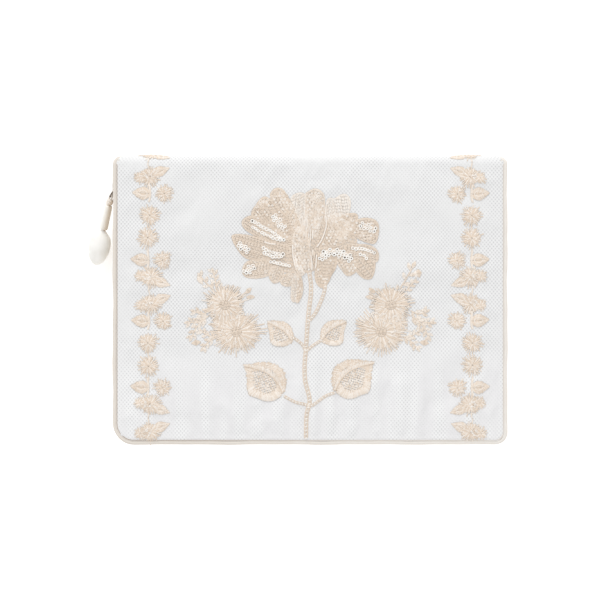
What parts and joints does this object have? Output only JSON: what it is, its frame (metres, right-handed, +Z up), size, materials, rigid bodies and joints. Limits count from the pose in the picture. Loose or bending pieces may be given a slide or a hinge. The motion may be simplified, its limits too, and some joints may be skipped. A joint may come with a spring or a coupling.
{
  "type": "prayer book in a zip cover",
  "caption": "Prayer book in a padded, embroidered zip-round fabric cover with piping, a hinged spine, turning pages and a beaded zip charm.",
  "frame": {"origin": "middle of the back cover's outer face, which lies on the table", "axes": "+X along the spine, +Y from the fore-edge to the spine, +Z up out of the embroidered front"},
  "size_m": [0.2534, 0.1736, 0.0266],
  "materials": {
    "pique_fabric": "matte woven, raised dot weave",
    "wadding": "matte felted",
    "grey_board": "matte",
    "lining_cloth": "soft sheen",
    "piping_satin": "soft sheen, bias cut",
    "zip_tape": "matte herringbone",
    "coil_nylon": "satin",
    "dark_metal": "dark satin plating",
    "embroidery_thread": "satin thread in champagne and ivory",
    "book_cloth": "matte book cloth",
    "book_paper": "matte",
    "headband_silk": "soft sheen, striped",
    "gauze": "open weave",
    "ribbon_satin": "satin",
    "knot_thread": "waxed thread",
    "tube_enamel": "glossy",
    "pearl": "pearly gloss"
  },
  "bodies": {
    "back_cover": {"back_cover_fabric": "pique_fabric", "back_cover_wadding": "wadding", "back_cover_board": "grey_board", "back_cover_lining": "lining_cloth", "back_piping": "piping_satin", "back_zip_tape": "zip_tape", "back_zip_coil": "coil_nylon", "back_zip_stops": "dark_metal", "back_inner_sleeve": "lining_cloth", "book_back_board": "book_cloth", "back_pastedown": "book_paper"},
    "spine": {"spine_fabric": "pique_fabric", "spine_lining": "lining_cloth", "spine_piping": "piping_satin", "book_spine_strip": "book_cloth", "spine_border_embroidery": "embroidery_thread"},
    "front_cover": {"front_cover_fabric": "pique_fabric", "front_cover_wadding": "wadding", "front_cover_board": "grey_board", "front_cover_lining": "lining_cloth", "front_piping": "piping_satin", "front_zip_tape": "zip_tape", "front_zip_coil": "coil_nylon", "front_zip_stop": "dark_metal", "front_inner_sleeve": "lining_cloth", "book_front_board": "book_cloth", "front_pastedown": "book_paper", "peony_embroidery": "embroidery_thread", "stem_embroidery": "embroidery_thread", "left_bouquet_embroidery": "embroidery_thread", "right_bouquet_embroidery": "embroidery_thread", "left_border_embroidery": "embroidery_thread", "right_border_embroidery": "embroidery_thread"},
    "back_pages": {"signature_06": "book_paper", "signature_07": "book_paper", "signature_08": "book_paper", "signature_09": "book_paper", "signature_10": "book_paper", "back_headbands": "headband_silk", "back_spine_gauze": "gauze", "ribbon_marker": "ribbon_satin"},
    "front_pages": {"signature_01": "book_paper", "signature_02": "book_paper", "signature_03": "book_paper", "signature_04": "book_paper", "signature_05": "book_paper", "front_headbands": "headband_silk", "front_spine_gauze": "gauze"},
    "zip_slider": {"slider_body": "dark_metal", "slider_bridge": "dark_metal"},
    "pull_ring": {"pull_ring": "dark_metal"},
    "charm": {"charm_eye_pin": "dark_metal", "thread_knot": "knot_thread", "tube_bead": "tube_enamel", "pearl_drop": "pearl"}
  },
  "joints": [
    {"name": "spine_fold", "type": "hinge", "parent": "back_cover", "child": "spine", "pos_m": [0, 0.0871, 0], "axis": [-1, 0, 0], "range_deg": [0, 90]},
    {"name": "front_cover_open", "type": "hinge", "parent": "spine", "child": "front_cover", "pos_m": [0, 0.0871, 0.0266], "axis": [-1, 0, 0], "range_deg": [0, 90]},
    {"name": "page_shift", "type": "slide", "parent": "back_cover", "child": "back_pages", "axis": [0, 1, 0], "range_m": [0, 0.0142]},
    {"name": "page_turn", "type": "hinge", "parent": "back_pages", "child": "front_pages", "pos_m": [0, 0.083, 0.0133], "axis": [-1, 0, 0], "range_deg": [0, 180]},
    {"name": "slider_travel", "type": "slide", "parent": "back_cover", "child": "zip_slider", "axis": [0, -1, 0], "range_m": [0, 0.12]},
    {"name": "pull_swing", "type": "hinge", "parent": "zip_slider", "child": "pull_ring", "pos_m": [-0.1175, 0.0675, 0.013], "axis": [0, 0, -1], "range_deg": [-5, 140]},
    {"name": "charm_lift", "type": "hinge", "parent": "pull_ring", "child": "charm", "pos_m": [-0.12117, 0.06226, 0.013], "axis": [-0.9744, 0.225, 0], "range_deg": [0, 60]}
  ],
  "couplings": [
    {"joint": "front_cover_open", "follows": "spine_fold", "ratio": 1},
    {"joint": "page_turn", "follows": "spine_fold", "ratio": 2},
    {"joint": "page_shift", "follows": "spine_fold", "m_per_rad": 0.009}
  ]
}
